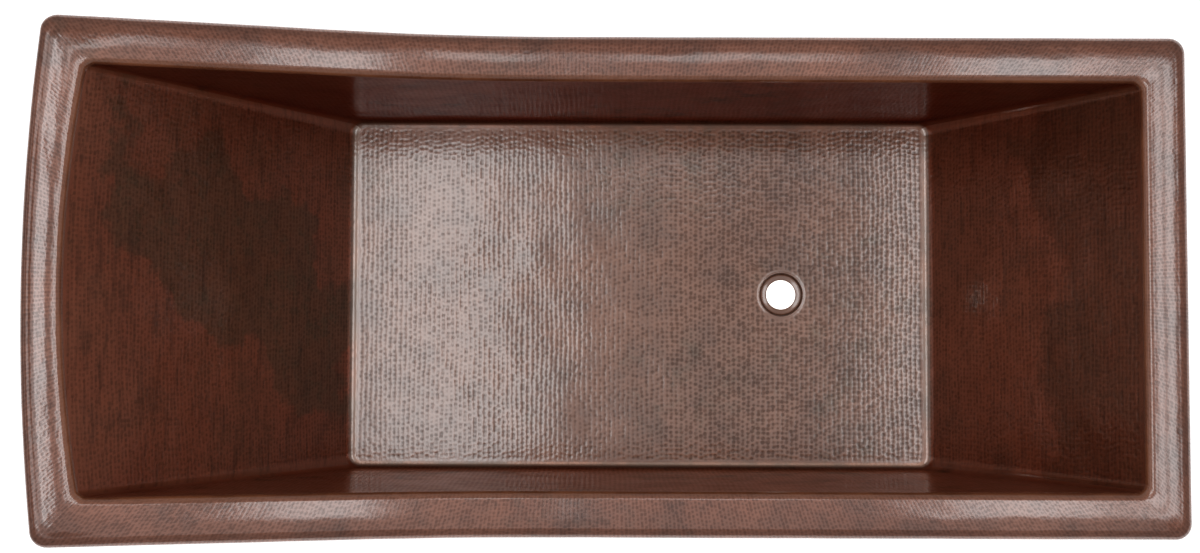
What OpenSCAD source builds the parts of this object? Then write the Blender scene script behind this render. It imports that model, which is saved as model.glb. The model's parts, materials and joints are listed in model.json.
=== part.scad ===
// Double-walled freestanding bathtub with a backrest that sweeps up to the head end.
// The origin is on the ground under the middle of the tub.
// +X points to the foot end, where the drain is, +Y to the bather's left, and +Z up.

/* [Tub] */
// Overall length, over the rims
tub_length = 1829; // [1800:1:1860]
// Overall width, over the rims
tub_width = 813; // [795:1:830]
// Height of the rim at the foot end
low_rim = 580; // [565:1:610]
// Height of the inner floor above the ground
floor_top = 105; // [105:1:115]

/* [Backrest] */
// Where the rim starts to rise, from the middle of the tub
sweep_start = -95; // [-140:5:-60]
// Radius of the curve that starts the rise
sweep_radius = 1150; // [1000:10:1300]
// Slope that the rim then keeps up to the head end, in degrees
sweep_angle = 18; // [14:0.5:19]
// How far the rim's outer edge bows out at the head end
head_bow = 21.5; // [10:0.5:28]
// How far the rim's inner edge bows out at the head end
head_inner_bow = 28.5; // [12:0.5:32]

/* [Rim] */
// Width of the rim along the sides and the foot end
rim_width = 75; // [70:1:80]
// Width of the rim in the middle of the head end
head_rim_width = 60; // [56:1:75]
// Height of the rolled rim, whose outer edge is a half circle
rim_height = 40; // [38:1:44]
// Radius of the rim's inner shoulder
rim_shoulder = 15; // [12:1:17]
// Radius of the rim's outer corners, in plan
rim_corner = 26; // [22:1:40]
// Radius of the basin's corners, in plan
basin_corner = 15; // [10:1:20]

/* [Basin] */
// Head edge of the inner floor, from the middle of the tub
floor_head = -505; // [-520:1:-500]
// Foot edge of the inner floor, from the middle of the tub
floor_foot = 574; // [560:1:580]
// How much each side wall leans in, from the rim to the floor
side_taper = 8; // [4:1:12]
// Radius of the floor's corners, in plan
floor_corner = 24; // [12:1:28]
// Thickness of the copper sheet
sheet = 1.6; // [1.2:0.1:2]

/* [Outer skin] */
// How far the rim stands out past the skin
overhang = 20; // [18:1:24]
// Head edge of the skin at its bottom
skin_head = -512; // [-520:1:-508]
// Foot edge of the skin at its bottom
skin_foot = 596; // [592:1:604]
// Gap between the skin and the ground
skin_gap = 12; // [8:1:20]
// Radius of the skin's corners, in plan
skin_corner = 16; // [10:1:20]

/* [Drain] */
// Place of the drain along the tub
drain_x = 297.5; // [250:0.5:330]
// Radius of the drain hole
drain_r = 27; // [25:0.5:29]
// Radius of the recess that the drain flange sits in
seat_r = 39.5; // [37:0.5:43]
// Depth of that recess
seat_depth = 5; // [3:0.5:6]

/* [Base frame] */
// Side of the square cross-member tube
member_side = 25; // [20:1:25]
// Width of the base rails
rail_width = 30; // [26:1:36]
// Height of the base rails' underside
rail_bottom = 30; // [28:1:32]
// Height of the base rails
rail_height = 25; // [22:1:25]
// Distance of the base rails from the middle
rail_y = 270; // [240:5:290]
// Wall of the steel tubes
tube_wall = 2; // [1.5:0.5:2.5]
// Side of the square tube of the posts and struts
post_side = 20; // [16:1:22]
// Thickness of the support board
board_thickness = 15; // [12:1:15]

/* [Levelling feet] */
// Radius of a foot's pad
pad_r = 25; // [20:1:30]
// Radius of the foot's stud
stud_r = 6; // [5:0.5:6]
// Height of the stud's top
stud_top = 72; // [66:1:74]
// Width of the nuts across their flats
nut_flats = 19; // [17:1:22]

/* [Hidden] */
$fn = 64;

// Steps along each stretch of the tub's outline
foot_steps = 3;
corner_steps = 6;
side_steps = 22;
head_steps = 8;
// The outline's points at which the corners are mitred
foot_mitre = foot_steps + corner_steps / 2;
head_mitre = foot_steps + corner_steps + side_steps + corner_steps / 2;
outline_end = foot_steps + 2 * corner_steps + side_steps + head_steps;

// A sheet that leans with the end walls is this much thicker along X than across itself
end_slant = 1.15;
skin_taper = side_taper;
half_length = tub_length / 2;
half_width = tub_width / 2;
nose_r = rim_height / 2;
// The ledge inside the rim that the basin walls meet, and the slope of its underside
rim_ledge = 1.5 * sheet;
rim_undercut = 20;
// The steel core inside the rim
core_near = 22;
core_far = 52;
core_height = 20;
core_wall = 2;
core_bottom = sheet + 0.3;

member_bottom = rail_bottom + rail_height;
member_top = member_bottom + member_side;
member_reach = half_width - overhang - skin_taper - sheet - 1;
member_x = [-508, -280, -60, 160, 430, 590];
rail_ends = [-505, 592];
post_y = 363;
strut_y = [-200, 0, 200];
board_top = member_top + board_thickness;
board_ends = [-490, 560];
board_half = 300;
board_hole_r = 60;
// Where the struts of each end start, midway between its two walls, and how they lean
head_strut_x = -518.7;
head_strut_lean = 0.536;
foot_strut_x = 597;
foot_strut_lean = 0.571;

foot_at = [[-400, rail_y], [-400, -rail_y], [480, rail_y], [480, -rail_y]];
pad_height = 12;
pad_edge = 6;
socket_bottom = 5;
fit_gap = 0.05;
stud_hole_r = stud_r + fit_gap;
clear_hole_r = stud_r + 2;
weld_nut_height = 10;
lock_nut_height = 7;
wrench_flats = 14;
wrench_bottom = 13.5;
wrench_height = 5;

copper_inside = "#6b4438";
copper_rim = "#8a6256";
copper_outside = "#5a362c";
steel = "#8f9498";
zinc = "#b9bcc0";
plywood = "#c9a877";
rubber = "#2e2e30";

function lerp(a, b, k) = a + (b - a) * k;

// Height that the rim has gained at x: level, then an arc, then a straight slope
function rise(x) = let (s = sweep_start - x, run = sweep_radius * sin(sweep_angle))
    s <= 0 ? 0 :
    s < run ? sweep_radius - sqrt(sweep_radius ^ 2 - s ^ 2) :
    sweep_radius * (1 - cos(sweep_angle)) + (s - run) * tan(sweep_angle);
function rim_top(x) = low_rim + rise(x);

// Half of a rounded outline in plan, from the middle of the foot end, round the left side,
// to the middle of the head end. Every outline has the same number of points.
function outline(foot_x, side_y, head_x, bow, corner) = let (
        turn = 90 - atan(2 * bow / side_y),
        y_end = side_y - corner * (1 - cos(turn)),
        centre = head_x + bow * (y_end / side_y) ^ 2 + corner * sin(turn))
    concat(
        [for (i = [0 : foot_steps - 1]) [foot_x, (side_y - corner) * i / foot_steps]],
        [for (i = [0 : corner_steps]) let (a = 90 * (1 - i / corner_steps))
            [foot_x - corner + corner * sin(a), side_y - corner + corner * cos(a)]],
        [for (i = [1 : side_steps - 1]) [lerp(foot_x - corner, centre, i / side_steps), side_y]],
        [for (i = [0 : corner_steps]) let (a = turn * i / corner_steps)
            [centre - corner * sin(a), side_y - corner + corner * cos(a)]],
        [for (i = [1 : head_steps]) let (y = y_end * (1 - i / head_steps))
            [head_x + bow * (y / side_y) ^ 2, y]]);

rim_outer = outline(half_length, half_width, -half_length, head_bow, rim_corner);
rim_inner = outline(half_length - rim_width, half_width - rim_width,
    head_rim_width - half_length, head_inner_bow, basin_corner);

// The basin's outlines at its top and at the floor, moved outwards by a thickness
function basin_top_line(out) = outline(half_length - rim_width + end_slant * out,
    half_width - rim_width + out, head_rim_width - half_length - end_slant * out,
    head_inner_bow, basin_corner + out);
function floor_line(out) = outline(floor_foot + end_slant * out,
    half_width - rim_width - side_taper + out, floor_head - end_slant * out,
    0, floor_corner + out);

// The outer skin's outlines at its top and bottom, moved inwards by a thickness
function skin_top_line(in) = outline(half_length - overhang - end_slant * in,
    half_width - overhang - in, overhang - half_length + end_slant * in,
    head_bow, skin_corner - in);
function skin_bottom_line(in) = outline(skin_foot - end_slant * in,
    half_width - overhang - skin_taper - in, skin_head + end_slant * in,
    0, skin_corner - in);

// The rim's cross-section, as [distance from the outer edge, height], shrunk by a thickness
function rim_profile(thin) = concat(
    [for (a = [270 : -22.5 : 90]) [nose_r + (nose_r - thin) * cos(a), nose_r + (nose_r - thin) * sin(a)]],
    [for (a = [90 : -25 : 15]) [rim_width - rim_shoulder + (rim_shoulder - thin) * cos(a),
        rim_height - rim_shoulder + (rim_shoulder - thin) * sin(a)]],
    [[rim_width - 2 * thin, rim_height - rim_shoulder + thin],
        [rim_width - rim_ledge - 2 * thin, rim_height - rim_shoulder],
        [rim_width - rim_undercut - thin / 2, thin]]);
function core_profile(thin) = [
    [core_near + thin, core_bottom + thin], [core_near + thin, core_bottom + core_height - thin],
    [core_far - thin, core_bottom + core_height - thin], [core_far - thin, core_bottom + thin]];

// One cross-section of the rim, at a point of the outline
function rim_ring(profile, i) = [for (p = profile)
    let (at = lerp(rim_outer[i], rim_inner[i], p.x / rim_width))
    [at.x, at.y, rim_top(at.x) - rim_height + p.y]];

// One cross-section of a wall, from its outer face's outlines to its inner face's.
// Its top edge is drop below the rim's top.
function wall_ring(bottom_far, bottom_near, bottom_z, top_far, top_near, drop, i) = let (
        top_z = rim_top(top_near[i].x) - drop)
    [[bottom_far[i].x, bottom_far[i].y, bottom_z], [top_far[i].x, top_far[i].y, top_z],
        [top_near[i].x, top_near[i].y, top_z], [bottom_near[i].x, bottom_near[i].y, bottom_z]];
function basin_rings(from, to) = [for (i = [from : to])
    wall_ring(floor_line(sheet), floor_line(0), floor_top - sheet,
        basin_top_line(sheet), basin_top_line(0), rim_shoulder, i)];
function skin_rings(from, to) = [for (i = [from : to])
    wall_ring(skin_bottom_line(0), skin_bottom_line(sheet), skin_gap,
        skin_top_line(0), skin_top_line(sheet), rim_height, i)];

function other_side(ring) = [for (p = ring) [p.x, -p.y, p.z]];
// Cross-sections of a piece that crosses the tub, from its half on the left side
function across(half) = concat([for (i = [len(half) - 1 : -1 : 1]) other_side(half[i])], half);
function reversed(list) = [for (i = [len(list) - 1 : -1 : 0]) list[i]];

function next(j, count) = (j + 1) % count;
// The faces between each cross-section and the next, whose points start at number start
function side_faces(rings, start) = let (count = len(rings[0]))
    [for (i = [0 : len(rings) - 2], j = [0 : count - 1])
        let (a = start + i * count + j, b = start + i * count + next(j, count))
        each [[a, b + count, a + count], [a, b, b + count]]];
function turned(faces) = [for (f = faces) reversed(f)];

// A solid through cross-sections that all have the same number of points
module loft(rings) {
    count = len(rings[0]);
    far_end = (len(rings) - 1) * count;
    polyhedron(points = [for (ring = rings) each ring], faces = concat(
        [[for (j = [count - 1 : -1 : 0]) j]],
        side_faces(rings, 0),
        [[for (j = [0 : count - 1]) far_end + j]]));
}

// The same, hollow and open at both ends
module loft_tube(outside, inside) {
    count = len(outside[0]);
    cavity = len(outside) * count;
    far_end = cavity - count;
    near_cap = [for (j = [0 : count - 1]) let (k = next(j, count))
        each [[k, j, cavity + j], [k, cavity + j, cavity + k]]];
    far_cap = [for (face = near_cap) [for (p = reversed(face)) p + far_end]];
    polyhedron(
        points = concat([for (ring = outside) each ring], [for (ring = inside) each ring]),
        faces = concat(near_cap, side_faces(outside, 0), turned(side_faces(inside, cavity)), far_cap));
}

function rim_rings(profile, from, to) = [for (i = [from : to]) rim_ring(profile, i)];
function foot_rings(profile) = across(rim_rings(profile, 0, foot_mitre));
function head_rings(profile) = reversed(across(reversed(rim_rings(profile, head_mitre, outline_end))));
function side_rings(profile) = rim_rings(profile, foot_mitre, head_mitre);

module right_side() {
    mirror([0, 1, 0]) children();
}

module rim_left() {
    color(copper_rim) loft_tube(side_rings(rim_profile(0)), side_rings(rim_profile(sheet)));
}
module rim_right() { right_side() rim_left(); }
module rim_foot() {
    color(copper_rim) loft_tube(foot_rings(rim_profile(0)), foot_rings(rim_profile(sheet)));
}
module rim_head() {
    color(copper_rim) loft_tube(head_rings(rim_profile(0)), head_rings(rim_profile(sheet)));
}

module rim_core_left() {
    color(steel) loft_tube(side_rings(core_profile(0)), side_rings(core_profile(core_wall)));
}
module rim_core_right() { right_side() rim_core_left(); }
module rim_core_foot() {
    color(steel) loft_tube(foot_rings(core_profile(0)), foot_rings(core_profile(core_wall)));
}
module rim_core_head() {
    color(steel) loft_tube(head_rings(core_profile(0)), head_rings(core_profile(core_wall)));
}

module basin_side_left() { color(copper_inside) loft(basin_rings(foot_mitre, head_mitre)); }
module basin_side_right() { right_side() basin_side_left(); }
module basin_foot() { color(copper_inside) loft(across(basin_rings(0, foot_mitre))); }
module basin_head() {
    color(copper_inside) loft(reversed(across(reversed(basin_rings(head_mitre, outline_end)))));
}

module skin_left() { color(copper_outside) loft(skin_rings(foot_mitre, head_mitre)); }
module skin_right() { right_side() skin_left(); }
module skin_foot_end() { color(copper_outside) loft(across(skin_rings(0, foot_mitre))); }
module skin_head_end() {
    color(copper_outside) loft(reversed(across(reversed(skin_rings(head_mitre, outline_end)))));
}

// The floor sheet, with the recess and the hole for the drain
module basin_floor() {
    half = floor_line(0);
    whole = concat(half, [for (i = [len(half) - 2 : -1 : 1]) [half[i].x, -half[i].y]]);
    bevel = 4;
    color(copper_inside) {
        difference() {
            translate([0, 0, floor_top - sheet]) linear_extrude(sheet) polygon(whole);
            translate([drain_x, 0, floor_top - 2 * sheet]) cylinder(r = seat_r, h = 3 * sheet);
        }
        translate([drain_x, 0, floor_top]) rotate_extrude()
            polygon([[seat_r, 0], [seat_r - bevel, -seat_depth], [drain_r, -seat_depth],
                [drain_r, -seat_depth - sheet], [seat_r - bevel + sheet / 2, -seat_depth - sheet],
                [seat_r, -sheet]]);
    }
}

// A box from its low corner to its high corner
module box(low, high) {
    translate(low) cube(high - low);
}

// An upright square tube that stands on the origin, open at both ends
module square_tube(side, long) {
    linear_extrude(long) difference() {
        square(side, center = true);
        square(side - 2 * tube_wall, center = true);
    }
}

// Posts on the ends of the cross-members, under the rim
module side_posts() {
    for (x = member_x)
        translate([x, post_y, member_top])
            square_tube(post_side, rim_top(x + post_side / 2) - rim_height - member_top);
}
module side_posts_left() { color(steel) side_posts(); }
module side_posts_right() { right_side() side_posts_left(); }

// Leaning struts between the two walls of an end, cut level at both their ends
module end_struts(start_x, lean, top_z) {
    angle = atan(lean);
    long = (top_z - member_top) / cos(angle) + 2 * post_side;
    for (y = strut_y)
        intersection() {
            translate([start_x, y, member_top]) rotate([0, angle, 0])
                translate([0, 0, -post_side]) square_tube(post_side, long + post_side);
            box([-half_length, y - post_side, member_top], [half_length, y + post_side, top_z]);
        }
}
module head_struts() {
    rim_z = low_rim + rise(-half_length);
    lowest_x = head_strut_x - head_strut_lean * (rim_z - member_top - 2 * rim_height);
    color(steel) end_struts(head_strut_x, -head_strut_lean, rim_top(lowest_x + post_side) - rim_height);
}
module foot_struts() { color(steel) end_struts(foot_strut_x, foot_strut_lean, low_rim - rim_height); }

// A square tube across the tub, open at both ends
module crossmember(n) {
    x = member_x[n - 1];
    color(steel) difference() {
        box([x - member_side / 2, -member_reach, member_bottom],
            [x + member_side / 2, member_reach, member_top]);
        box([x - member_side / 2 + tube_wall, -member_reach - 1, member_bottom + tube_wall],
            [x + member_side / 2 - tube_wall, member_reach + 1, member_top - tube_wall]);
    }
}

// A rail along the tub, with the holes that its two levelling feet go through
module base_rail() {
    near = rail_y - rail_width / 2;
    far = rail_y + rail_width / 2;
    color(steel) difference() {
        box([rail_ends[0], near, rail_bottom], [rail_ends[1], far, member_bottom]);
        box([rail_ends[0] - 1, near + tube_wall, rail_bottom + tube_wall],
            [rail_ends[1] + 1, far - tube_wall, member_bottom - tube_wall]);
        for (at = foot_at)
            if (at.y > 0) {
                translate([at.x, at.y, rail_bottom - 1]) cylinder(r = stud_hole_r, h = tube_wall + 2);
                translate([at.x, at.y, member_bottom - tube_wall - 1])
                    cylinder(r = clear_hole_r, h = tube_wall + 2);
            }
    }
}
module base_rail_left() { base_rail(); }
module base_rail_right() { right_side() base_rail(); }

// A level sheet under the floor, with a hole for the drain's fittings
module floor_layer(bottom_z, top_z) {
    difference() {
        box([board_ends[0], -board_half, bottom_z], [board_ends[1], board_half, top_z]);
        translate([drain_x, 0, bottom_z - 1]) cylinder(r = board_hole_r, h = top_z - bottom_z + 2);
    }
}
module support_board() { color(plywood) floor_layer(member_top, board_top); }
module damping_mat() { color(rubber) floor_layer(board_top, floor_top - sheet); }

// A nut around each foot's stud
module nuts(bottom_z, height) {
    color(zinc) for (at = foot_at)
        translate([at.x, at.y, bottom_z]) difference() {
            cylinder(r = nut_flats / 2 / cos(30), h = height, $fn = 6);
            translate([0, 0, -1]) cylinder(r = stud_hole_r, h = height + 2);
        }
}
module weld_nuts() { nuts(rail_bottom + tube_wall, weld_nut_height); }
module lock_nuts() { nuts(rail_bottom - lock_nut_height, lock_nut_height); }

// A levelling foot: its pad, with a socket for the stud
module leveller_pad(n) {
    color(rubber) translate([foot_at[n - 1].x, foot_at[n - 1].y, 0]) rotate_extrude()
        polygon([[0, 0], [pad_r, 0], [pad_r, pad_edge], [pad_r / 2, pad_height],
            [stud_hole_r, pad_height], [stud_hole_r, socket_bottom], [0, socket_bottom]]);
}
// Its stud, with flats for a wrench
module leveller_stud(n) {
    color(zinc) translate([foot_at[n - 1].x, foot_at[n - 1].y, 0]) {
        translate([0, 0, socket_bottom + fit_gap])
            cylinder(r = stud_r, h = stud_top - socket_bottom - fit_gap);
        translate([0, 0, wrench_bottom])
            cylinder(r = wrench_flats / 2 / cos(30), h = wrench_height, $fn = 6);
    }
}

basin_floor();
basin_head();
basin_foot();
basin_side_left();
basin_side_right();
rim_head();
rim_foot();
rim_left();
rim_right();
rim_core_head();
rim_core_foot();
rim_core_left();
rim_core_right();
skin_head_end();  // skin_head
skin_foot_end();  // skin_foot
skin_left();
skin_right();
side_posts_left();
side_posts_right();
head_struts();
foot_struts();
base_rail_left();
base_rail_right();
crossmember(1);  // crossmember_1
crossmember(2);  // crossmember_2
crossmember(3);  // crossmember_3
crossmember(4);  // crossmember_4
crossmember(5);  // crossmember_5
crossmember(6);  // crossmember_6
support_board();
damping_mat();
weld_nuts();
lock_nuts();
leveller_pad(1);  // leveller_pad_1
leveller_pad(2);  // leveller_pad_2
leveller_pad(3);  // leveller_pad_3
leveller_pad(4);  // leveller_pad_4
leveller_stud(1);  // leveller_stud_1
leveller_stud(2);  // leveller_stud_2
leveller_stud(3);  // leveller_stud_3
leveller_stud(4);  // leveller_stud_4
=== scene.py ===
"""The looks of a freestanding hammered copper bathtub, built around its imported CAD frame."""
import json
import math

import bpy
import numpy as np
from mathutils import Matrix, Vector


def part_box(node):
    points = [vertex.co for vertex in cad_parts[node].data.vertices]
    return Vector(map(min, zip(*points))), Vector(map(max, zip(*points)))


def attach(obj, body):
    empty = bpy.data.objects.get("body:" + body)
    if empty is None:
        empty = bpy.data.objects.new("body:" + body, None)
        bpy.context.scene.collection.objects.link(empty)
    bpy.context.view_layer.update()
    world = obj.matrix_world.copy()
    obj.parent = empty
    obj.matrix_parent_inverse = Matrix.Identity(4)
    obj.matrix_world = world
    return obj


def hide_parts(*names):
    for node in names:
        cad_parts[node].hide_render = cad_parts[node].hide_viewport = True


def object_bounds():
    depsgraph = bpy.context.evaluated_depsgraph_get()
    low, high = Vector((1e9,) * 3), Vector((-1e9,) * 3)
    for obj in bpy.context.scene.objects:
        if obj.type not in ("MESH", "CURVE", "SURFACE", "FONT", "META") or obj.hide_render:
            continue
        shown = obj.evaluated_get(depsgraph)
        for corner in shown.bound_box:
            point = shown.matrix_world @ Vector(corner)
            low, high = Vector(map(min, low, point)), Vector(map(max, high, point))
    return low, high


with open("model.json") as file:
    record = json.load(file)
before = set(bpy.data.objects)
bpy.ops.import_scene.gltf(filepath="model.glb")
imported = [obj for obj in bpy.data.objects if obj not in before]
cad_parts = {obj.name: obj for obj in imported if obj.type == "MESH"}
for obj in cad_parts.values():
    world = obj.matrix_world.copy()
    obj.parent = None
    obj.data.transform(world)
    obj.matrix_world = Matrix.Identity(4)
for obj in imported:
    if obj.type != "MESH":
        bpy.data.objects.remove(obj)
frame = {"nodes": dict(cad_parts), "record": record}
cad_box = [list(corner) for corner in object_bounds()]

# ---------------------------------------------------------------- sizes, in metres

# Thickness of the copper
SHEET = 0.0016
# A sheet that leans with the end walls is this much thicker along X than across itself
END_SLANT = 1.15
# The rim's sweep up to the head: where it starts, and the radius and angle of its arc
SWEEP_START = -0.095
SWEEP_RADIUS = 1.15
SWEEP_ANGLE = math.radians(18)
# How far the head end bows out in plan, at the rim's outer edge and at the basin
HEAD_BOW = 0.0215
HEAD_INNER_BOW = 0.0285
# How much a side leans in on its way down
SIDE_TAPER = 0.008
# Radii of the rim's inner shoulder, and of each outline's corners in plan
RIM_SHOULDER = 0.015
RIM_CORNER = 0.026
BASIN_CORNER = 0.015
FLOOR_CORNER = 0.024
SKIN_CORNER = 0.016
# The two ends of the skin's base
SKIN_HEAD = -0.512
SKIN_FOOT = 0.596
# How far the bend between the floor and the walls reaches
BEND = 0.012
# How much wider the drain's recess is than its hole, and the width of the slope round it
SEAT_MARGIN = 0.0125
BEVEL = 0.0036
# A point inside the tub, to tell a wall's inner face from its outer one
TUB_MIDDLE = np.array([0, 0, 0.3])

# ---------------------------------------------------------------- hammering, in metres

# Hammer dents, as parts of their spacing: how far they stray across and along their columns,
# how much they differ in depth, and how high the ridges between them stand
STRAY_ACROSS = 0.22
STRAY_ALONG = 0.30
DEPTH_SPREAD = 0.14
RIDGE = 0.42
# How many different values the soft noise has each way, and a shift that keeps its cells positive
NOISE_CELLS = 64
NOISE_SHIFT = 1000
# Spacing and depth of the dents on each kind of sheet
RIM_SPACING = (0.0066, 0.0064)
WALL_SPACING = 0.0086
SKIN_SPACING = 0.0100
FLOOR_SPACING = (0.0089, 0.0084)
END_WALL_DENT = 0.00050
SIDE_WALL_DENT = 0.00026
SKIN_DENT = 0.00034
# How many rows of faces each wall and skin has up its height, and the seeds of their marks
WALL_ROWS = {"left": 176, "right": 176, "head": 246, "foot": 180}
WALL_SEEDS = {"left": 21, "right": 31, "head": 41, "foot": 51}
SKIN_ROWS = {"left": 170, "right": 170, "head": 196, "foot": 170}
SKIN_SEEDS = {"left": 61, "right": 71, "head": 81, "foot": 91}
# The floor's dents are this deep where it is least worn, and this much deeper where it is most
FLOOR_DENT = 0.00026
FLOOR_DENT_EXTRA = 0.00022
# No wave in the floor is higher or lower than this
WAVE_LIMIT = 0.0009

# ---------------------------------------------------------------- sizes read from the frame

half_length = cad_box[1][0]
half_width = cad_box[1][1]
rim_low, rim_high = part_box("rim_foot")
LOW_RIM = rim_high.z
RIM_HEIGHT = rim_high.z - rim_low.z
NOSE = RIM_HEIGHT / 2
RIM_WIDTH = half_length + END_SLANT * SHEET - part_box("basin_foot")[1].x
HEAD_RIM_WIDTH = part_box("basin_head")[0].x + END_SLANT * SHEET + half_length
floor_low, floor_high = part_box("basin_floor")
skin_low, skin_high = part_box("skin_foot")
OVERHANG = half_length - skin_high.x
SKIN_GAP = skin_low.z
SEAT_DEPTH = floor_high.z - floor_low.z - SHEET
drain = [m for m in frame["record"]["mounts"] if m["name"] == "drain_hole"][0]
DRAIN_X = drain["pos_m"][0]
DRAIN_R = drain["dims"]["r_mm"] / 1000
SEAT_R = DRAIN_R + SEAT_MARGIN

# ---------------------------------------------------------------- the tub's lines


def rim_top(x):
    """Height of the rim's top at x: level, then an arc, then a straight slope."""
    s = SWEEP_START - x
    run = SWEEP_RADIUS * math.sin(SWEEP_ANGLE)
    arc = SWEEP_RADIUS - np.sqrt(SWEEP_RADIUS**2 - np.clip(s, 0, run) ** 2)
    return LOW_RIM + arc + np.maximum(s - run, 0) * math.tan(SWEEP_ANGLE)


class Steps:
    """How finely an outline is cut along each of its stretches, and where its corners are mitred."""

    def __init__(self, foot, corner, side, head):
        self.foot = foot
        self.corner = corner
        self.side = side
        self.head = head
        self.foot_mitre = foot + corner // 2
        self.head_mitre = foot + corner + side + corner // 2
        self.half = foot + 2 * corner + side + head

    def part(self, name):
        """The numbers of the outline's points along one end or side."""
        first, last = {
            "foot": (-self.foot_mitre, self.foot_mitre),
            "left": (self.foot_mitre, self.head_mitre),
            "head": (self.head_mitre, 2 * self.half - self.head_mitre),
            "right": (2 * self.half - self.head_mitre, 2 * self.half - self.foot_mitre),
        }[name]
        return np.arange(first, last + 1) % (2 * self.half)


def outline(foot_x, side_y, head_x, bow, corner, steps):
    """The tub's rounded outline in plan: middle of the foot end, left side, head end, right side."""
    turn = math.pi / 2 - math.atan(2 * bow / side_y)
    y_end = side_y - corner * (1 - math.cos(turn))
    centre = head_x + bow * (y_end / side_y) ** 2 + corner * math.sin(turn)
    a = np.linspace(math.pi / 2, 0, steps.corner + 1)
    b = np.linspace(0, turn, steps.corner + 1)
    y = np.linspace(y_end, 0, steps.head + 1)[1:]
    xs = [
        np.full(steps.foot, foot_x),
        foot_x - corner + corner * np.sin(a),
        np.linspace(foot_x - corner, centre, steps.side + 1)[1:-1],
        centre - corner * np.sin(b),
        head_x + bow * (y / side_y) ** 2,
    ]
    ys = [
        np.linspace(0, side_y - corner, steps.foot + 1)[:-1],
        side_y - corner + corner * np.cos(a),
        np.full(steps.side - 1, side_y),
        side_y - corner + corner * np.cos(b),
        y,
    ]
    half = np.stack([np.concatenate(xs), np.concatenate(ys)], -1)
    return np.concatenate([half, half[-2:0:-1] * [1, -1]])


def arc_length(loop):
    """How far each point of a closed outline lies along it, and the outline's whole length."""
    legs = np.linalg.norm(np.roll(loop, -1, 0) - loop, axis=1)
    return np.concatenate([[0], np.cumsum(legs)[:-1]]), legs.sum()


def rim_outer_line(steps):
    return outline(half_length, half_width, -half_length, HEAD_BOW, RIM_CORNER, steps)


def basin_line(out, steps):
    """The basin's outline at its top, moved outwards."""
    return outline(
        half_length - RIM_WIDTH + END_SLANT * out,
        half_width - RIM_WIDTH + out,
        HEAD_RIM_WIDTH - half_length - END_SLANT * out,
        HEAD_INNER_BOW,
        BASIN_CORNER + out,
        steps,
    )


def floor_line(out, steps):
    """The floor's outline, moved outwards."""
    slant = END_SLANT if out > 0 else 1
    return outline(
        floor_high.x + slant * out,
        floor_high.y + out,
        floor_low.x - slant * out,
        0,
        FLOOR_CORNER + out,
        steps,
    )


def skin_top_line(inward, steps):
    return outline(
        half_length - OVERHANG - END_SLANT * inward,
        half_width - OVERHANG - inward,
        OVERHANG - half_length + END_SLANT * inward,
        HEAD_BOW,
        SKIN_CORNER - inward,
        steps,
    )


def skin_bottom_line(inward, steps):
    return outline(
        SKIN_FOOT - END_SLANT * inward,
        half_width - OVERHANG - SIDE_TAPER - inward,
        SKIN_HEAD + END_SLANT * inward,
        0,
        SKIN_CORNER - inward,
        steps,
    )


# ---------------------------------------------------------------- hammer marks


def smooth_noise(u, v, size_u, size_v, seed):
    """Soft hills and hollows from -1 to 1, of the given size."""
    table = np.random.default_rng(seed).uniform(-1, 1, (NOISE_CELLS, NOISE_CELLS))
    a = u / size_u + NOISE_SHIFT
    b = v / size_v + NOISE_SHIFT
    i = np.floor(a).astype(int)
    j = np.floor(b).astype(int)
    p = a - i
    q = b - j
    p = p * p * p * (p * (6 * p - 15) + 10)
    q = q * q * q * (q * (6 * q - 15) + 10)
    this_i = i % NOISE_CELLS
    next_i = (i + 1) % NOISE_CELLS
    this_j = j % NOISE_CELLS
    next_j = (j + 1) % NOISE_CELLS
    low = table[this_i, this_j] * (1 - p) + table[next_i, this_j] * p
    high = table[this_i, next_j] * (1 - p) + table[next_i, next_j] * p
    return low * (1 - q) + high * q


def dents(u, v, pitch_u, pitch_v, seed, columns=1024, stretch=1.4):
    """Hammer dents in columns that run along v, from 0 on the ridges to -1 in the deepest."""
    rows = 128
    random = np.random.default_rng(seed).random((columns, rows, 4))
    a = u / pitch_u
    b = v / pitch_v
    i = np.floor(a).astype(int)
    lowest = np.full(u.shape, 9.0)
    for di in (-1, 0, 1):
        column = (i + di) % columns
        shift = random[column, 0, 3]
        j = np.floor(b - shift).astype(int)
        for dj in (-1, 0, 1):
            cell = random[column, (j + dj) % rows]
            across = a - (i + di + 0.5 + STRAY_ACROSS * (cell[..., 0] - 0.5))
            along = b - shift - (j + dj + 0.5 + STRAY_ALONG * (cell[..., 1] - 0.5))
            depth = DEPTH_SPREAD * cell[..., 2]
            lowest = np.minimum(lowest, stretch * across**2 + along**2 + depth)
    return np.minimum(lowest, RIDGE) / RIDGE - 1


def fade(distance, width):
    """0 at an edge, rising smoothly to 1 at width from it."""
    t = np.clip(distance / width, 0, 1)
    return t * t * (3 - 2 * t)


def soft_ramp(x, width=0.003):
    """0 below zero and x above it, with a soft turn of the given width."""
    return (x + np.sqrt(x * x + width * width)) / 2


# ---------------------------------------------------------------- meshes


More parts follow.
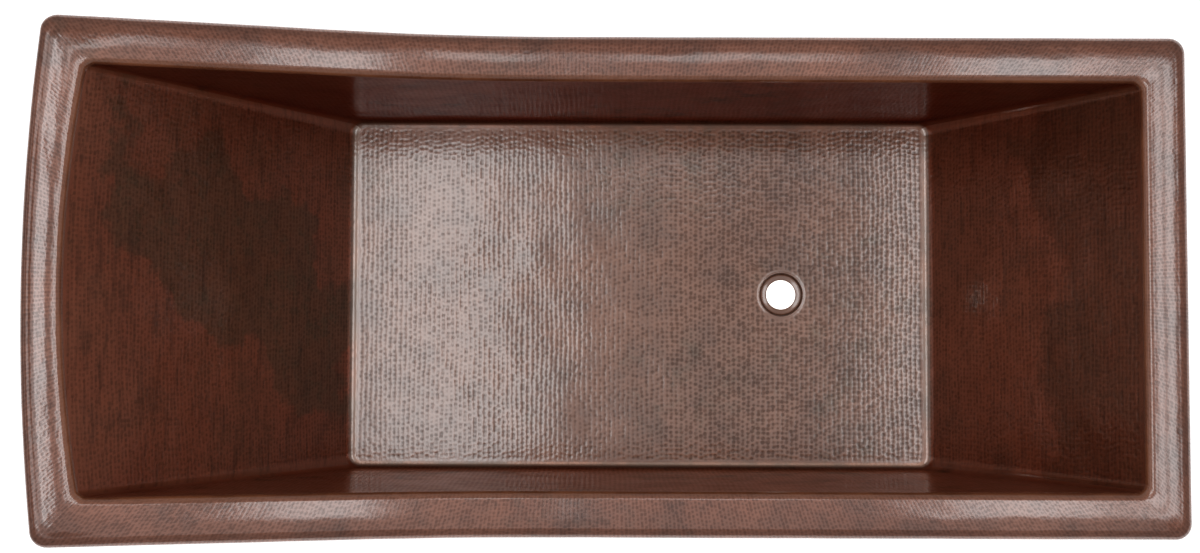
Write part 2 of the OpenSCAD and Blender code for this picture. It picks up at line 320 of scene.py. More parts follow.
class Solid:
    """Points and faces collected for one closed mesh."""

    def __init__(self):
        self.points = []
        self.marks = []
        self.edge_bands = []
        self.faces = []
        self.count = 0

    def add(self, points, marks=None, edge_bands=None):
        """Adds a block of points, and returns their numbers in the same block shape."""
        shape = points.shape[:-1]
        total = int(np.prod(shape))
        self.points.append(points.reshape(-1, 3))
        self.marks.append(np.zeros(total) if marks is None else marks.reshape(-1))
        self.edge_bands.append(np.zeros(total) if edge_bands is None else edge_bands.reshape(-1))
        numbers = np.arange(self.count, self.count + total).reshape(shape)
        self.count += total
        return numbers

    def cover(self, numbers):
        """Covers a block of numbered points with four-sided faces."""
        corners = [numbers[:-1, :-1], numbers[:-1, 1:], numbers[1:, 1:], numbers[1:, :-1]]
        self.faces.append(np.stack(corners, -1).reshape(-1, 4))

    def face(self, numbers):
        self.faces.append(np.asarray(numbers).reshape(1, -1))

    def build(self, name, node, material):
        """Makes the object, which stands for a CAD node."""
        corners = np.concatenate([f.reshape(-1) for f in self.faces])
        sizes = np.concatenate([np.full(len(f), f.shape[1]) for f in self.faces])
        used, corners = np.unique(corners, return_inverse=True)
        points = np.concatenate(self.points)[used]
        mesh = bpy.data.meshes.new(name)
        mesh.vertices.add(len(points))
        mesh.vertices.foreach_set("co", points.astype(np.float32).ravel())
        mesh.loops.add(len(corners))
        mesh.loops.foreach_set("vertex_index", corners.astype(np.int32).ravel())
        mesh.polygons.add(len(sizes))
        starts = np.concatenate([[0], np.cumsum(sizes)[:-1]])
        mesh.polygons.foreach_set("loop_start", starts.astype(np.int32))
        mesh.update(calc_edges=True)
        for kind, values in (("dent", self.marks), ("edge_band", self.edge_bands)):
            attribute = mesh.attributes.new(kind, "FLOAT", "POINT")
            attribute.data.foreach_set("value", np.concatenate(values)[used].astype(np.float32))
        mesh.calc_loop_triangles()
        triangles = np.zeros(len(mesh.loop_triangles) * 3, np.int32)
        mesh.loop_triangles.foreach_get("vertices", triangles)
        a, b, c = points[triangles.reshape(-1, 3)].transpose(1, 0, 2)
        if np.einsum("ij,ij->i", a, np.cross(b, c)).sum() < 0:
            mesh.flip_normals()
        mesh.shade_smooth()
        mesh.set_sharp_from_angle(angle=math.radians(48))
        mesh.materials.append(material)
        piece = bpy.data.objects.new(name, mesh)
        bpy.context.scene.collection.objects.link(piece)
        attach(piece, "tub")
        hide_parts(node)
        return piece


def normals(points):
    """Directions out of a surface given as a block of points."""
    out = np.cross(np.gradient(points, axis=1), np.gradient(points, axis=0))
    return out / np.linalg.norm(out, axis=-1, keepdims=True)


def tube(solid, points, marks, edge_bands=None):
    """A closed body along its columns: each column of the block is one cross-section."""
    numbers = solid.add(points, marks, edge_bands)
    solid.cover(np.concatenate([numbers, numbers[:1]]))
    solid.face(numbers[:, 0])
    solid.face(numbers[::-1, -1])


def at_height(plan, z):
    """Points of a plan outline raised to a height."""
    return np.concatenate([plan, np.broadcast_to(z, plan.shape[:-1])[..., None]], -1)


# ---------------------------------------------------------------- rim


def rim_section():
    """The rim's cross-section: its distance in, its height, and its length along the hammered face."""
    nose = np.linspace(math.radians(270), math.radians(90), 29)
    shoulder = np.linspace(math.radians(90), 0, 12)[1:]
    crown = np.linspace(NOSE, RIM_WIDTH - RIM_SHOULDER, 19)[1:]
    across = np.concatenate([
        NOSE + NOSE * np.cos(nose), crown, RIM_WIDTH - RIM_SHOULDER + RIM_SHOULDER * np.cos(shoulder)])
    up = np.concatenate([
        NOSE + NOSE * np.sin(nose), np.full(len(crown), RIM_HEIGHT),
        RIM_HEIGHT - RIM_SHOULDER + RIM_SHOULDER * np.sin(shoulder)])
    along = np.concatenate([[0], np.cumsum(np.hypot(np.diff(across), np.diff(up)))])
    return across, up, along


# The rim's crown: how far it drops at most, where it is highest and how far it reaches from there
CROWN_DROP = 0.0012
CROWN_MIDDLE = 0.040
CROWN_REACH = 0.020
# The head's rim, measured from its outer edge: where the nose ends, where the steep part of the
# outer side ends, where that side ends, and where the inner side starts
NOSE_END = 0.018
STEEP_END = 0.031
OUTER_SIDE_END = 0.051
INNER_SIDE_START = 0.055
# The slopes of the two sides, and how fast the steep part bends down
OUTER_SLOPE = 0.110
INNER_SLOPE = 0.085
STEEPENING = 9
# Where the head's rim takes on this shape, and over what length
HEAD_SHAPE_FROM = -0.75
HEAD_SHAPE_OVER = 0.12
# The power and the root of the fuller shoulder's curve: 2 and 0.5 would be a circle
SHOULDER_POWER = 3.33
SHOULDER_ROOT = 0.3


def head_ridge(across):
    """How far the head's rim falls away on both sides of a soft ridge."""
    outside = np.maximum(across, NOSE_END)
    steep = STEEPENING * np.maximum(STEEP_END - outside, 0) ** 2
    outer_side = OUTER_SLOPE * soft_ramp(OUTER_SIDE_END - outside) + steep
    return outer_side + INNER_SLOPE * soft_ramp(across - INNER_SIDE_START)


def make_rim(part, material):
    steps = Steps(172, 16, 800, 172)
    here = steps.part(part)
    outer_loop = rim_outer_line(steps)
    outer = outer_loop[here]
    inner = basin_line(0, steps)[here]
    lengths, around = arc_length(outer_loop)
    across, up, along = rim_section()
    columns = round(around / RIM_SPACING[0])
    u, v = np.meshgrid(lengths[here], along)
    plan = outer + (inner - outer) * (across / RIM_WIDTH)[:, None, None]
    towards_head = fade(HEAD_SHAPE_FROM - plan[..., 0], HEAD_SHAPE_OVER)
    off_crown = np.abs(across - CROWN_MIDDLE) / CROWN_REACH
    crown = CROWN_DROP * np.minimum(off_crown, 1)[:, None] ** 2
    ridge = head_ridge(across)[:, None]
    # The fall fades out down the nose slowly, and down the shoulder fast
    fade_power = np.where(across < CROWN_MIDDLE, 1, 4)[:, None]
    fall = (crown + (ridge - crown) * towards_head) * (up[:, None] / RIM_HEIGHT) ** fade_power
    t = np.clip((across - RIM_WIDTH + RIM_SHOULDER) / RIM_SHOULDER, 0, 1)
    fuller = RIM_SHOULDER * ((1 - t**SHOULDER_POWER) ** SHOULDER_ROOT - np.sqrt(1 - t * t))
    fall = fall - fuller[:, None] * towards_head
    face = at_height(plan, rim_top(plan[..., 0]) - RIM_HEIGHT + up[:, None] - fall)
    turns = u * 2 * math.pi / around
    wander = 0.0012 * (np.sin(9 * turns + 40 * v) + np.sin(23 * turns + 1.7))
    marks = dents(u, v + wander, around / columns, RIM_SPACING[1], 5, columns)
    # A circle about as long as the outline, so that the noise meets itself where the outline closes
    ring_x = np.cos(turns) * around / 6
    ring_y = np.sin(turns) * around / 6
    soft = 0.5 + 0.5 * smooth_noise(ring_x, ring_y, 0.05, 0.05, 8)
    depth = (0.00007 + 0.00009 * soft) * (1 + 0.6 * towards_head)
    depth = depth * fade(v, 0.006) * fade(along[-1] - v, 0.003)
    sway = 0.0002 * smooth_noise(ring_x, ring_y + 3 * v, 0.07, 0.07, 9)
    sway = sway * fade(v, 0.03) * fade(along[-1] - v, 0.03)
    face = face + normals(face) * (depth * marks + sway)[..., None]
    under = np.array([[RIM_WIDTH - 1.5 * SHEET, RIM_HEIGHT - RIM_SHOULDER], [RIM_WIDTH - 0.020, 0]])
    plan = outer + (inner - outer) * (under[:, 0] / RIM_WIDTH)[:, None, None]
    back = at_height(plan, rim_top(plan[..., 0]) - RIM_HEIGHT + under[:, 1, None])
    # A bright orange band round the rim's inner shoulder: partly rubbed copper, partly painted light
    # that lifts the shade on the shoulder.
    shoulder_at = along[-1] - 0.5 * RIM_SHOULDER
    edge_band = np.exp(-(((v - shoulder_at) / 0.009) ** 2))
    empty = np.zeros(back.shape[:-1])
    solid = Solid()
    tube(
        solid, np.concatenate([face, back]), np.concatenate([marks, empty]),
        np.concatenate([edge_band, empty]))
    return solid.build("rim_" + part + "_hammered", "rim_" + part, material)


# ---------------------------------------------------------------- basin walls and outer skin


def wall_marks(part, face, pitch, seed):
    """Hammer marks and soft swells over a wall, measured along the wall itself."""
    rise = np.concatenate([np.zeros((1, face.shape[1])), np.cumsum(
        np.linalg.norm(np.diff(face, axis=0), axis=-1), axis=0)])
    sideways = face[..., 0] if part in ("left", "right") else face[..., 1]
    if part in ("left", "right"):
        u, v = sideways, rise
    else:
        u, v = rise, sideways
    wander = 0.25 * pitch * smooth_noise(u, v, 5 * pitch, 9 * pitch, seed + 1)
    marks = dents(u + wander, v, pitch, 0.95 * pitch, seed)
    swell = smooth_noise(u, v, 0.085, 0.11, seed + 2)
    swell = swell + 0.5 * smooth_noise(u, v, 0.04, 0.05, seed + 3)
    return rise, marks, swell


def from_edges(face, rise, row):
    """How far each point of a wall lies from its nearer end, along a row, and from its top or bottom."""
    run = np.cumsum(np.linalg.norm(np.diff(face[row], axis=0), axis=-1))
    run = np.concatenate([[0], run])
    return np.minimum(run, run[-1] - run), np.minimum(rise, rise[-1] - rise)


def normals_inwards(face, row):
    """Directions out of a wall's face, on the side that faces the middle of the tub."""
    column = face.shape[1] // 2
    out = normals(face)
    return out * np.sign(np.dot(out[row, column], TUB_MIDDLE - face[row, column]))


def make_basin_wall(part, material):
    steps = Steps(114, 8, 470, 112)
    rows = WALL_ROWS[part]
    here = steps.part(part)
    inside = floor_line(-BEND, steps)[here]
    edge = at_height(floor_line(0, steps)[here], floor_high.z)
    top_plan = basin_line(0, steps)[here]
    top = at_height(top_plan, rim_top(top_plan[:, 0]) - RIM_SHOULDER)
    slope = (top - edge) / np.linalg.norm(top - edge, axis=-1, keepdims=True)
    start = at_height(inside, floor_high.z)
    bend_top = edge + 1.1 * BEND * slope
    t = np.linspace(0, 1, 7)[:, None, None]
    bend = start * (1 - t) ** 2 + edge * 2 * t * (1 - t) + bend_top * t**2
    k = np.linspace(0, 1, rows + 1)[1:, None, None]
    face = np.concatenate([bend, bend_top + (top - bend_top) * k])
    rise, marks, swell = wall_marks(part, face, WALL_SPACING, WALL_SEEDS[part])
    side, height = from_edges(face, rise, rows // 2)
    keep = fade(side, 0.018) * fade(height, 0.008)
    depth = END_WALL_DENT if part in ("head", "foot") else SIDE_WALL_DENT
    lift = (depth * marks + 0.0009 * swell * fade(height, 0.12) * fade(side, 0.10)) * keep
    face = face + normals_inwards(face, rows // 2) * lift[..., None]
    far_bottom = floor_line(SHEET, steps)[here]
    far_top = basin_line(SHEET, steps)[here]
    back = np.stack([
        at_height(far_top, top[:, 2]),
        at_height(far_bottom, floor_high.z - SHEET),
        at_height(inside, floor_high.z - SHEET),
    ])
    node = {"left": "basin_side_left", "right": "basin_side_right"}.get(part, "basin_" + part)
    # A band of its own tone along the bottom of the wall, where it bends into the floor.
    edge_band = 1 - fade(rise - 0.008, 0.010)
    empty = np.zeros(back.shape[:-1])
    solid = Solid()
    tube(
        solid, np.concatenate([face, back]), np.concatenate([marks * keep, empty]),
        np.concatenate([edge_band, empty]))
    return solid.build(node + "_hammered", node, material)


def make_skin(part, material):
    steps = Steps(112, 8, 480, 112)
    rows = SKIN_ROWS[part]
    here = steps.part(part)
    bottom = at_height(skin_bottom_line(0, steps)[here], SKIN_GAP)
    top_plan = skin_top_line(0, steps)[here]
    top_near = skin_top_line(SHEET, steps)[here]
    top_z = rim_top(top_near[:, 0]) - RIM_HEIGHT
    top = at_height(top_plan, top_z)
    k = np.linspace(0, 1, rows + 1)[:, None, None]
    face = bottom + (top - bottom) * k
    rise, marks, swell = wall_marks(part, face, SKIN_SPACING, SKIN_SEEDS[part])
    side, height = from_edges(face, rise, rows // 2)
    keep = fade(side, 0.016) * fade(height, 0.010)
    # The swells only ever go inwards from the CAD skin
    swells = 0.0007 * (swell - 1.5) * fade(height, 0.12) * fade(side, 0.10)
    lift = (SKIN_DENT * marks + swells) * keep
    face = face - normals_inwards(face, rows // 2) * lift[..., None]
    back = np.stack([
        at_height(top_near, top_z),
        at_height(skin_bottom_line(SHEET, steps)[here], SKIN_GAP),
    ])
    solid = Solid()
    empty = np.zeros(back.shape[:-1])
    tube(solid, np.concatenate([face, back]), np.concatenate([marks * keep, empty]))
    return solid.build("skin_" + part + "_hammered", "skin_" + part, material)


# ---------------------------------------------------------------- floor and drain


def floor_surface(x, y):
    """Marks and height of the inner floor: hammer dents, and the large soft swells in its head half."""
    wander = 0.0022 * smooth_noise(x, y, 0.04, 0.09, 11)
    ridged = 1.05 + 0.35 * fade(0.25 - x, 0.4)
    marks = dents(x + wander, y, *FLOOR_SPACING, 12, stretch=ridged)
    # The dents are deeper in patches, and fainter in the head half
    foot_half = fade(x + 0.05, 0.3)
    patchy = 0.5 + 0.5 * smooth_noise(x, y, 0.09, 0.08, 13)
    depth = (FLOOR_DENT + FLOOR_DENT_EXTRA * patchy) * (0.85 + 0.15 * foot_half)
    turn = 0.6
    turned_x = x * math.cos(turn) + y * math.sin(turn)
    turned_y = y * math.cos(turn) - x * math.sin(turn)
    swell = smooth_noise(turned_x, turned_y, 0.045, 0.075, 14)
    swell = swell + 0.6 * smooth_noise(turned_x, turned_y, 0.07, 0.06, 15)
    patch = np.exp(-(((x + 0.20) / 0.22) ** 2) - (((y + 0.02) / 0.30) ** 2))
    broad = smooth_noise(x, y, 0.16, 0.14, 16)
    edge = np.minimum(
        np.minimum(x - floor_low.x - BEND, floor_high.x - BEND - x), floor_high.y - BEND - np.abs(y))
    from_drain = np.hypot(x - DRAIN_X, y)
    clear = from_drain - SEAT_R - 0.004
    waves = (0.00045 * swell * (0.2 + patch) + 0.0004 * broad) * (fade(clear, 0.06) * fade(edge, 0.07))
    waves = WAVE_LIMIT * np.tanh(waves / WAVE_LIMIT)
    near = fade(clear, 0.006) * fade(edge, 0.007)
    return marks * near * (0.75 + 0.25 * foot_half), depth * marks * near + waves


def round_corners(x, y, left, right, side, radius):
    """Moves the points of a rectangle so that its corners are round."""
    near_x = np.clip(x, left + radius, right - radius)
    near_y = np.clip(y, radius - side, side - radius)
    a = (x - near_x) / radius
    b = (y - near_y) / radius
    return near_x + radius * a * np.sqrt(1 - b * b / 2), near_y + radius * b * np.sqrt(1 - a * a / 2)


def make_floor(material):
    left = floor_low.x + BEND
    right = floor_high.x - BEND
    side = floor_high.y - BEND
    # The square that holds the drain: half its side, and how many faces it has along a side
    reach = 0.060
    cells = 50
    pitch = 2 * reach / cells
    before = round((DRAIN_X - reach - left) / pitch)
    after = round((right - DRAIN_X - reach) / pitch)
    beside = round((side - reach) / pitch)
    xs = np.concatenate([
        np.linspace(left, DRAIN_X - reach, before + 1),
        np.linspace(DRAIN_X - reach, DRAIN_X + reach, cells + 1)[1:],
        np.linspace(DRAIN_X + reach, right, after + 1)[1:],
    ])
    ys = np.concatenate([
        np.linspace(-side, -reach, beside + 1),
        np.linspace(-reach, reach, cells + 1)[1:],
        np.linspace(reach, side, beside + 1)[1:],
    ])
    x, y = np.meshgrid(xs, ys, indexing="ij")
    marks, lift = floor_surface(x, y)
    x, y = round_corners(x, y, left, right, side, FLOOR_CORNER - BEND)
    top_z = floor_high.z
    under = np.stack([x, y, np.full(x.shape, top_z - SHEET)], -1)
    solid = Solid()
    top = solid.add(np.stack([x, y, top_z + lift], -1), marks)
    low = solid.add(under)
    a, b = before, before + cells
    c, d = beside, beside + cells
    for block in (top[: a + 1], top[b:], top[a : b + 1, : c + 1], top[a : b + 1, d:]):
        solid.cover(block)

    def square(block):
        """The numbers round the square patch that holds the drain, anticlockwise."""
        return np.concatenate([block[a:b, c], block[b, c:d], block[b:a:-1, d], block[a, d:c:-1]])

    out_x = square(x) - DRAIN_X
    out_y = square(y)
    far = np.hypot(out_x, out_y)
    lip = SEAT_R + 0.0045
    rings = [square(top)]
    for t in np.linspace(0, 1, 10)[1:]:
        radius = far * (1 - t) + lip * t
        ring_x = DRAIN_X + out_x / far * radius
        ring_y = out_y / far * radius
        ring_marks, ring_lift = floor_surface(ring_x, ring_y)
        rings.append(solid.add(np.stack([ring_x, ring_y, top_z + ring_lift], -1), ring_marks))
    seat_z = -SEAT_DEPTH
    # From the floor into the recess, down the hole and back under the sheet: radius and height
    profile = [
        (SEAT_R + 0.0032, 0.00035), (SEAT_R + 0.0018, 0.00060), (SEAT_R + 0.0006, 0.00035),
        (SEAT_R, -0.0004), (SEAT_R - 0.0007, -0.0015), (SEAT_R - 0.0018, -0.0026),
        (SEAT_R - BEVEL, -0.0034), (SEAT_R - BEVEL - 0.0028, -0.0040),
        (DRAIN_R + 0.0020, -0.0046), (DRAIN_R + 0.0007, seat_z), (DRAIN_R + 0.0001, seat_z - 0.0003),
        (DRAIN_R, seat_z - 0.0008), (DRAIN_R, seat_z - SHEET),
        (SEAT_R - BEVEL + SHEET / 2, seat_z - SHEET), (SEAT_R + SHEET, -SHEET),
    ]
    for radius, z in profile:
        ring_x = DRAIN_X + out_x / far * radius
        ring = np.stack([ring_x, out_y / far * radius, np.full(len(far), top_z + z)], -1)
        # The slope into the recess is as dark as a dent
        dark = SEAT_R - BEVEL < radius < SEAT_R + 0.001 and z > seat_z
        rings.append(solid.add(ring, np.full(len(far), -0.9 if dark else 0.0)))
    rings.append(square(low))
    sleeve = np.stack(rings)
    solid.cover(np.concatenate([sleeve, sleeve[:, :1]], 1)[:, ::-1])

    # The underside, in strips that run across the tub
    last = len(xs) - 1
    solid.cover(np.stack([low[1:a, 0], low[1:a, -1]]))
    solid.cover(np.stack([low[b + 1 : last, 0], low[b + 1 : last, -1]]))
    solid.cover(np.stack([low[a : b + 1, 0], low[a : b + 1, c]]))
    solid.cover(np.stack([low[a : b + 1, d], low[a : b + 1, -1]]))
    solid.face(np.concatenate([low[a - 1, [-1, 0]], low[a, [0]], low[a, c : d + 1], low[a, [-1]]]))
    solid.face(np.concatenate([low[b + 1, [0, -1]], low[b, [-1]], low[b, c : d + 1][::-1], low[b, [0]]]))
    solid.face(np.concatenate([low[1, [0, -1]], low[0, ::-1]]))
    solid.face(np.concatenate([low[-2, [-1, 0]], low[-1]]))
    # Its four edges
    solid.cover(np.stack([top[:, 0], low[:, 0]]))
    solid.cover(np.stack([low[:, -1], top[:, -1]]))
    solid.cover(np.stack([low[0], top[0]]))
    solid.cover(np.stack([top[-1], low[-1]]))
    return solid.build("basin_floor_hammered", "basin_floor", material)


# ---------------------------------------------------------------- materials


class Nodes:
    """A new material, and short ways to add nodes to it."""

    def __init__(self, name):
        self.material = bpy.data.materials.new(name)
        self.material.use_nodes = True
        self.tree = self.material.node_tree
        self.shader = self.tree.nodes["Principled BSDF"]

    def put(self, node, key, value):
        """Sets an input, or joins it to another node's output."""
        if isinstance(value, bpy.types.NodeSocket):
            self.tree.links.new(value, node.inputs[key])
        else:
            node.inputs[key].default_value = value

    def add(self, kind, settings=None, **values):
        node = self.tree.nodes.new("ShaderNode" + kind)
        for key, value in (settings or {}).items():
            setattr(node, key, value)
        for key, value in values.items():
            self.put(node, key, value)
        return node

    def place(self):
        return self.add("TexCoord").outputs["Object"]

    def stretched(self, vector, scale):
        node = self.add("Mapping")
        self.put(node, "Vector", vector)
        self.put(node, "Scale", scale)
        return node.outputs["Vector"]

    def noise(self, vector, scale, detail=4.0, roughness=0.55, distortion=0.0):
        node = self.add(
            "TexNoise", Scale=scale, Detail=detail, Roughness=roughness, Distortion=distortion)
        self.put(node, "Vector", vector)
        return node.outputs["Fac"]

    def ramp(self, value, low, high, start=0.0, end=1.0):
        """Turns a range of values into 0 to 1, or into start to end, with soft ends."""
        node = self.add("MapRange", {"interpolation_type": "SMOOTHSTEP"})
        self.put(node, "Value", value)
        self.put(node, "From Min", low)
        self.put(node, "From Max", high)
        self.put(node, "To Min", start)
        self.put(node, "To Max", end)
        return node.outputs["Result"]

    def math(self, operation, a, b):
        node = self.add("Math", {"operation": operation})
        self.put(node, 0, a)
        self.put(node, 1, b)
        return node.outputs[0]

    def mix(self, factor, a, b):
        """Mixes two colours."""
        node = self.add("Mix", {"data_type": "RGBA"})
        self.put(node, 0, factor)
        self.put(node, 6, a if isinstance(a, bpy.types.NodeSocket) else (*a, 1))
        self.put(node, 7, b if isinstance(b, bpy.types.NodeSocket) else (*b, 1))
        return node.outputs[2]

    def finish(self, colour, roughness, bump=None, strength=0.1, distance=0.001, **uniform):
        self.put(self.shader, "Base Color", colour)
        self.put(self.shader, "Roughness", roughness)
        for key, value in uniform.items():
            self.put(self.shader, key.replace("_", " "), value)
        if bump is not None:
            node = self.add("Bump", Strength=strength, Distance=distance)
            self.put(node, "Height", bump)
            self.put(self.shader, "Normal", node.outputs["Normal"])
        return self.material


def copper(name, dark, mid, light, patches, patch_at=None, rough=(0.34, 0.50), pit=0.45, streaks=0.0,
           mottled=0.85, clouded=0.5, coat=(1.0, 0.7), edge=(0.8, 0.6, 0.5), edge_band_tone=(0.20, 0.125, 0.090),
           edge_band_mottle=(0.75, 1.0)):
    """Hammered copper under a brown patina: drifting browns, mottled dark patches, darker dents."""
    n = Nodes(name)
    place = n.place()
    drift = n.noise(place, 2.6, 5.0, 0.6)
    cloud = n.noise(place, 11.0, 7.0, 0.65)
    grain = n.noise(place, 140.0, 3.0, 0.6)
    colour = n.mix(n.ramp(drift, 0.36, 0.64), mid, light)
    colour = n.mix(n.ramp(cloud, 0.46, 0.80, 0.0, clouded), colour, dark)
    # Mottled patches. Where patch_at is given, a large ragged patch is there, and the rest are fainter
    mottle = n.ramp(n.noise(place, 26.0, 9.0, 0.72), 0.46, 0.66)
    cover = n.ramp(n.noise(place, 3.4, 4.0, 0.6), 0.50, 0.64)
    if patch_at:
        centre, size, turn = patch_at
        node = n.add("Mapping", {"vector_type": "TEXTURE"})
        n.put(node, "Vector", place)
        n.put(node, "Location", centre)
        n.put(node, "Rotation", (0, 0, turn))
        n.put(node, "Scale", size)
        length = n.add("VectorMath", {"operation": "LENGTH"})
        n.put(length, 0, node.outputs["Vector"])
        bays = n.noise(place, 6.5, 6.0, 0.6)
        ragged = n.math("ADD", length.outputs["Value"], n.math("MULTIPLY", bays, 2.2))
        cover = n.math("MAXIMUM", n.math("MULTIPLY", cover, 0.4), n.ramp(ragged, 2.10, 1.92))
        mottle = n.ramp(mottle, 0.0, 1.0, 0.7, 1.0)
    colour = n.mix(n.math("MULTIPLY", n.math("MULTIPLY", mottle, cover), mottled), colour, patches)
    if streaks:
        lines = n.noise(n.stretched(place, (60.0, 4.0, 4.0)), 3.0, 4.0, 0.6)
        colour = n.mix(n.ramp(lines, 0.45, 0.75, 0.0, streaks), colour, dark)
    dent = n.add("Attribute", {"attribute_name": "dent"}).outputs["Fac"]
    deep = n.ramp(n.math("MULTIPLY", dent, -1.0), 0.10, 0.80)
    speck = n.math("MULTIPLY", deep, n.ramp(grain, 0.35, 0.6, 0.55, 1.0))
    colour = n.mix(n.math("MULTIPLY", speck, pit), colour, dark)
    # Banded edges get a tone of their own, mottled by the cloud: on the rim's inner shoulder it is
    # partly rubbed copper and partly painted light.
    edge_band = n.add("Attribute", {"attribute_name": "edge_band"}).outputs["Fac"]
    colour = n.mix(n.math("MULTIPLY", edge_band, n.ramp(cloud, 0.35, 0.65, *edge_band_mottle)), colour, edge_band_tone)
    roughness = n.ramp(cloud, 0.3, 0.7, rough[0], rough[1])
    roughness = n.math("ADD", roughness, n.math("MULTIPLY", deep, 0.10))
    return n.finish(
        colour, roughness, grain, 0.25, 0.0004,
        Metallic=0.95, Specular_Tint=(*edge, 1), Coat_Weight=n.ramp(deep, 0.0, 1.0, *coat),
        Coat_Roughness=0.14, Coat_IOR=1.9)


DARK = (0.030, 0.012, 0.008)

floor_copper = copper(
    "copper_floor", (0.080, 0.034, 0.018), (0.230, 0.096, 0.054), (0.26, 0.122, 0.078),
    (0.12, 0.080, 0.045), rough=(0.50, 0.62), pit=0.6, mottled=0.5, clouded=0.35, coat=(0.95, 0.45))
head_copper = copper(
    "copper_head_wall", DARK, (0.42, 0.136, 0.070), (0.48, 0.172, 0.095), (0.16, 0.108, 0.060),
    ((-0.66, 0.05, 0.43), (0.27, 0.115, 2.0), -1.02), pit=0.5, streaks=0.5, mottled=0.95)
foot_copper = copper(
    "copper_foot_wall", DARK, (0.44, 0.138, 0.070), (0.50, 0.172, 0.095), (0.22, 0.085, 0.045),
    ((0.84, 0.0, 0.45), (0.13, 0.6, 2.0), 0.0), pit=0.5, streaks=0.4)
# The left wall is a darker copy of the wall copper, in its colours, band tone and edge tint: painted
# shade for the dimmer reflection on that side.
left_wall_painted_shade_copper = copper(
    "copper_left_wall_painted_shade", DARK, (0.30, 0.080, 0.037), (0.36, 0.108, 0.056), (0.07, 0.045, 0.026), pit=0.4,
    coat=(0.22, 0.18), edge=(0.50, 0.24, 0.14), edge_band_tone=(0.11, 0.052, 0.033))
right_copper = copper(
    "copper_right_wall", DARK, (0.46, 0.155, 0.085), (0.54, 0.205, 0.120), (0.12, 0.075, 0.045), pit=0.4,
    coat=(0.30, 0.22), edge=(0.75, 0.48, 0.36))
# The rim's band tone is a bright orange: on the inner shoulder it is partly rubbed copper, partly
# painted light.
rim_copper = copper(
    "copper_rim", (0.055, 0.018, 0.009), (0.25, 0.077, 0.036), (0.31, 0.108, 0.058),
    (0.13, 0.062, 0.034), rough=(0.56, 0.68), pit=0.4, mottled=0.5, edge_band_tone=(0.58, 0.23, 0.11),
    edge_band_mottle=(0.25, 0.8))
skin_copper = copper(
    "copper_skin", DARK, (0.24, 0.074, 0.040), (0.30, 0.105, 0.062), (0.05, 0.035, 0.022), pit=0.5)


def galvanised_steel():
    """Zinc spangle: flat crystals of slightly different greys."""
    n = Nodes("galvanised_steel")
    place = n.place()
    crystals = n.add("TexVoronoi", Scale=70.0)
    n.put(crystals, "Vector", place)
    tone = n.add("SeparateColor")
    n.put(tone, 0, crystals.outputs["Color"])
    cloud = n.noise(place, 18.0, 5.0)
    colour = n.mix(tone.outputs[0], (0.36, 0.38, 0.40), (0.58, 0.60, 0.62))
    colour = n.mix(n.ramp(cloud, 0.5, 0.8, 0.0, 0.5), colour, (0.30, 0.31, 0.32))
    roughness = n.ramp(tone.outputs[1], 0.0, 1.0, 0.34, 0.52)
    return n.finish(colour, roughness, n.noise(place, 220.0, 2.0), 0.15, 0.0004, Metallic=0.9)


def zinc_plate():
    n = Nodes("zinc_plate")
    place = n.place()
    cloud = n.noise(place, 60.0, 4.0)
    colour = n.mix(n.ramp(cloud, 0.4, 0.7), (0.66, 0.67, 0.66), (0.78, 0.76, 0.68))
    roughness = n.ramp(cloud, 0.3, 0.7, 0.22, 0.36)
    return n.finish(colour, roughness, n.noise(place, 500.0, 2.0), 0.12, 0.0002, Metallic=1.0)


def birch_ply():
    n = Nodes("birch_plywood")
    place = n.place()
    grain = n.noise(n.stretched(place, (2.0, 40.0, 40.0)), 3.0, 6.0, 0.6, 0.6)
    plies = n.add("TexWave", {"bands_direction": "Z"}, Scale=105.0, Distortion=0.6)
    n.put(plies, "Vector", place)
    colour = n.mix(n.ramp(grain, 0.35, 0.7), (0.70, 0.52, 0.33), (0.52, 0.35, 0.20))
    colour = n.mix(n.math("MULTIPLY", plies.outputs["Fac"], 0.35), colour, (0.36, 0.22, 0.12))
    return n.finish(colour, n.ramp(grain, 0.3, 0.7, 0.55, 0.72), grain, 0.3, 0.0006)


def rubber(name, tone):
    n = Nodes(name)
    place = n.place()
    dust = n.noise(place, 25.0, 6.0, 0.65)
    dusty = (tone * 2.2, tone * 2.1, tone * 2.0)
    colour = n.mix(n.ramp(dust, 0.45, 0.8), (tone, tone, tone * 1.05), dusty)
    return n.finish(colour, n.ramp(dust, 0.3, 0.7, 0.62, 0.8), n.noise(place, 380.0, 3.0), 0.4, 0.0004)


finishes = {
    "frame_steel": galvanised_steel(),
    "zinc_steel": zinc_plate(),
    "plywood": birch_ply(),
    "mat_rubber": rubber("damping_rubber", 0.035),
    "pad_rubber": rubber("moulded_rubber", 0.028),
}
slots = {part["node"]: part["material_slot"] for part in frame["record"]["subparts"]}
for node_name, node_object in frame["nodes"].items():
    finish = finishes.get(slots[node_name], skin_copper)
    node_object.data.materials.clear()
    node_object.data.materials.append(finish)

# ---------------------------------------------------------------- the pieces

make_floor(floor_copper)
for part_name, wall_copper in (
        ("head", head_copper), ("foot", foot_copper), ("left", left_wall_painted_shade_copper), ("right", right_copper)):
    make_basin_wall(part_name, wall_copper)
    make_rim(part_name, rim_copper)
    make_skin(part_name, skin_copper)

# ---------------------------------------------------------------- stage, light and camera


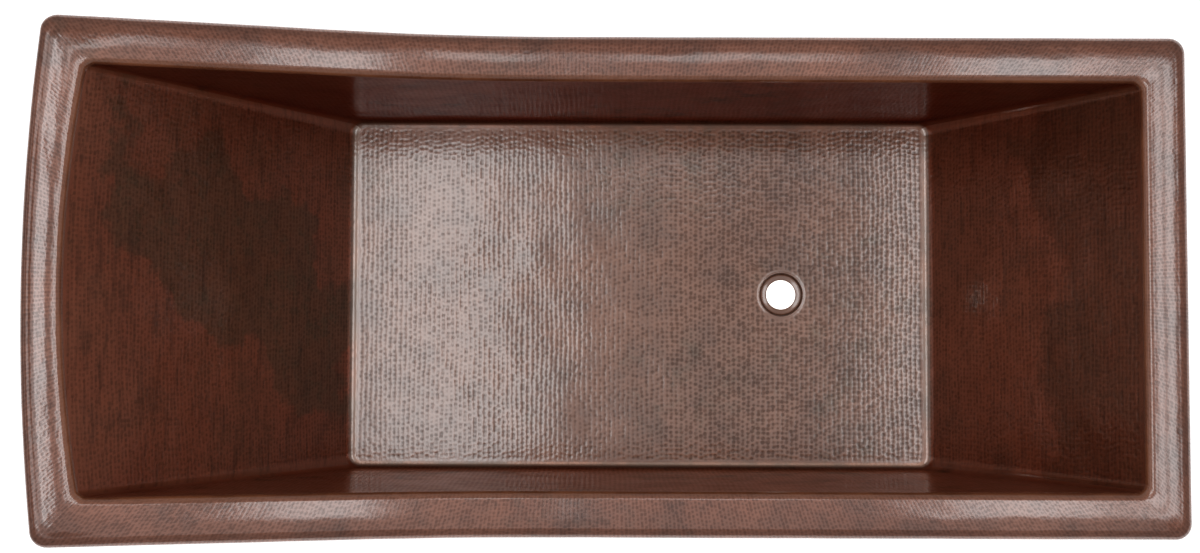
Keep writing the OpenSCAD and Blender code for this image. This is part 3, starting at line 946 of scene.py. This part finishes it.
def make_stage():
    """A plain pale floor."""
    reach = 9.0
    mesh = bpy.data.meshes.new("studio_floor")
    corners = [(-reach, -reach, 0), (reach, -reach, 0), (reach, reach, 0), (-reach, reach, 0)]
    mesh.from_pydata(corners, [], [(0, 1, 2, 3)])
    n = Nodes("studio_floor")
    paper = n.noise(n.place(), 4.0, 3.0)
    n.put(n.shader, "Emission Color", (1, 1, 1, 1))
    mesh.materials.append(n.finish(
        n.mix(paper, (0.86, 0.86, 0.86), (0.89, 0.89, 0.89)), 0.9, Emission_Strength=0.8))
    floor = bpy.data.objects.new("studio_floor", mesh)
    bpy.context.scene.collection.objects.link(floor)


def softbox(name, place, aim, width, height, power):
    light = bpy.data.lights.new(name, "AREA")
    light.shape = "RECTANGLE"
    light.size = width
    light.size_y = height
    light.energy = power
    box = bpy.data.objects.new(name, light)
    box.location = place
    direction = np.array(aim, float) - np.array(place, float)
    across = math.atan2(direction[1], direction[0])
    down = math.atan2(math.hypot(direction[0], direction[1]), -direction[2])
    box.rotation_euler = (0, -down, across) if down > 1e-6 else (0, 0, 0)
    box.visible_camera = False
    bpy.context.scene.collection.objects.link(box)


# Each soft light: its name, where it is, what it is aimed at, its width, its height and its power
soft_lights = [
    ("overhead", (0.1, -0.4, 4.5), (0.1, -0.4, 0), 4.0, 4.0, 20),
    ("head_end", (-0.69, 0.10, 4.4), (-0.69, 0.10, 0), 0.65, 2.6, 18),
    ("head_far", (-1.55, 0.10, 4.4), (-1.55, 0.10, 0), 1.00, 2.6, 7),
    ("head_corner", (0.40, 1.10, 4.4), (0.40, 1.10, 0), 0.80, 0.60, 2.6),
    ("foot_near", (1.50, 0.15, 4.4), (1.50, 0.15, 0), 0.60, 2.0, 11),
    ("foot_far", (2.40, 0.15, 4.4), (2.40, 0.15, 0), 0.80, 2.0, 17),
    ("beyond_head", (-3.6, 0.0, 3.4), (0, 0, 0.4), 0.8, 2.4, 3),
    ("under_drain", (DRAIN_X, 0, 0.05), (DRAIN_X, 0, 0), 0.12, 0.12, 0.07),
]

make_stage()
for soft_light in soft_lights:
    softbox(*soft_light)

world = bpy.data.worlds.new("studio")
world.use_nodes = True
world.node_tree.nodes["Background"].inputs["Color"].default_value = (1, 1, 1, 1)
world.node_tree.nodes["Background"].inputs["Strength"].default_value = 0.30
bpy.context.scene.world = world
bpy.context.scene.view_settings.view_transform = "Standard"

# The camera looks nearly straight down, from a little to the right side of the tub
camera = bpy.data.cameras.new("camera")
camera.sensor_width = 36
camera.lens = 55.94
camera.shift_y = -0.0313
camera.clip_end = 50
viewpoint = bpy.data.objects.new("camera", camera)
viewpoint.location = (-0.02438, -0.11004, 3.5853)
viewpoint.rotation_euler = (0.0612, 0.0044, 0.0035)
bpy.context.scene.collection.objects.link(viewpoint)
bpy.context.scene.camera = viewpoint
